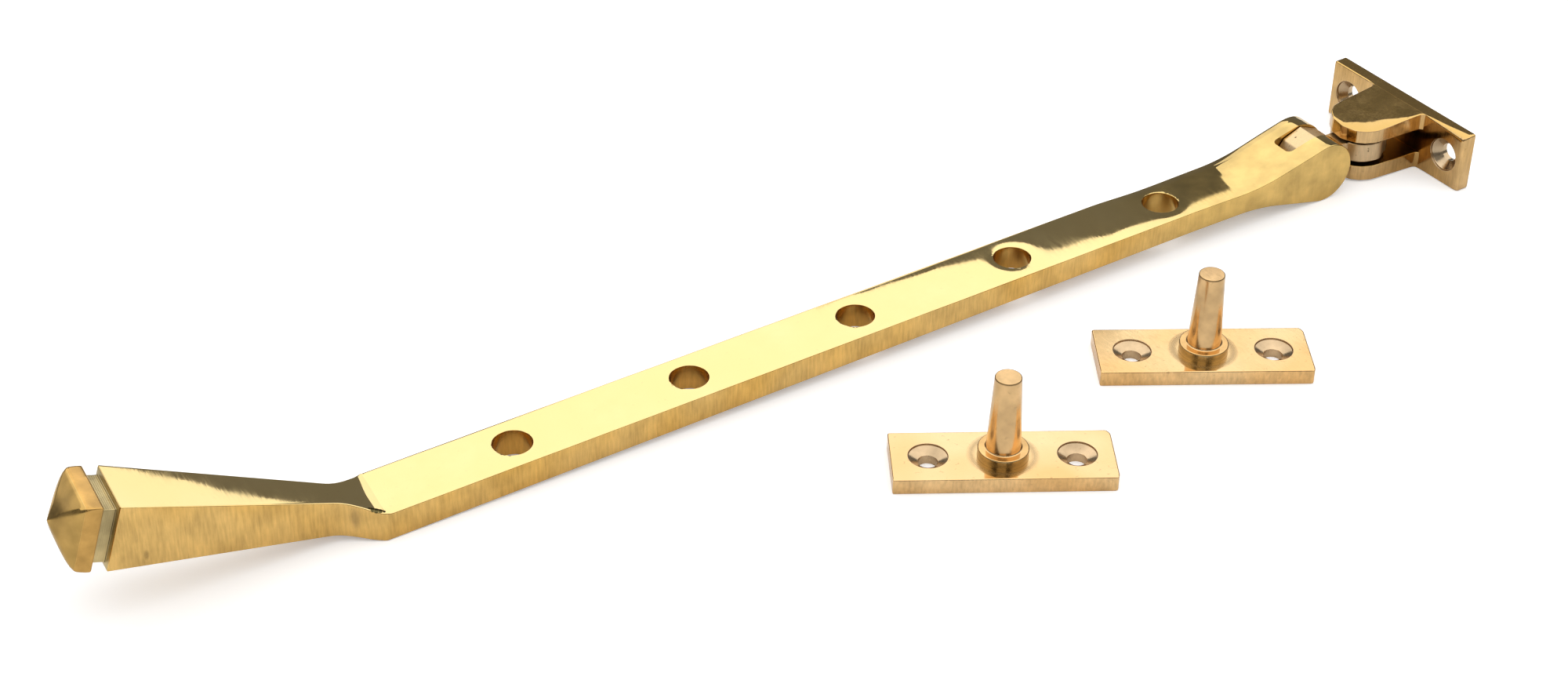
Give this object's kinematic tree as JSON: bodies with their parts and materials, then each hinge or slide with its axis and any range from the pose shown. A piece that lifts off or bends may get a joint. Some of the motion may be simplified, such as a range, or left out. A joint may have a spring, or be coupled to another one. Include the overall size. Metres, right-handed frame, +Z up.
{
  "type": "casement stay",
  "caption": "Brass casement stay: a drilled arm with a cranked square handle, a universal joint, a wall bracket and loose pin plates with upright pegs.",
  "frame": {"origin": "centre of the bracket plate's flat back face, midway between its two screw holes", "axes": "+X points out of the plate's back face, from the arm towards the window; the arm lies along -X; +Z is up, along the upright pivot and the pegs"},
  "size_m": [0.3428, 0.0911, 0.0287],
  "materials": {
    "arm_brass": "polished top, satin sides",
    "link_bronze": "ground casting",
    "bracket_bronze": "polished, brushed plate",
    "pin_bronze": "polished"
  },
  "bodies": {
    "arm": {"arm": "arm_brass", "arm_pivot_pin": "arm_brass", "pin_plate_near_handle": "pin_bronze", "pin_plate_near_bracket": "pin_bronze"},
    "link": {"swivel_link": "link_bronze"},
    "bracket": {"bracket": "bracket_bronze", "bracket_pivot_pin": "bracket_bronze"}
  },
  "joints": [
    {"name": "link_tilt", "type": "hinge", "parent": "arm", "child": "link", "pos_m": [-0.03299, 0.0006, 0.00015], "axis": [-0.0349, -0.9994, 0], "range_deg": [-105, 105]},
    {"name": "bracket_swing", "type": "hinge", "parent": "link", "child": "bracket", "pos_m": [-0.0158, 0, 0], "axis": [0, 0, 1], "range_deg": [-98, 94]}
  ]
}
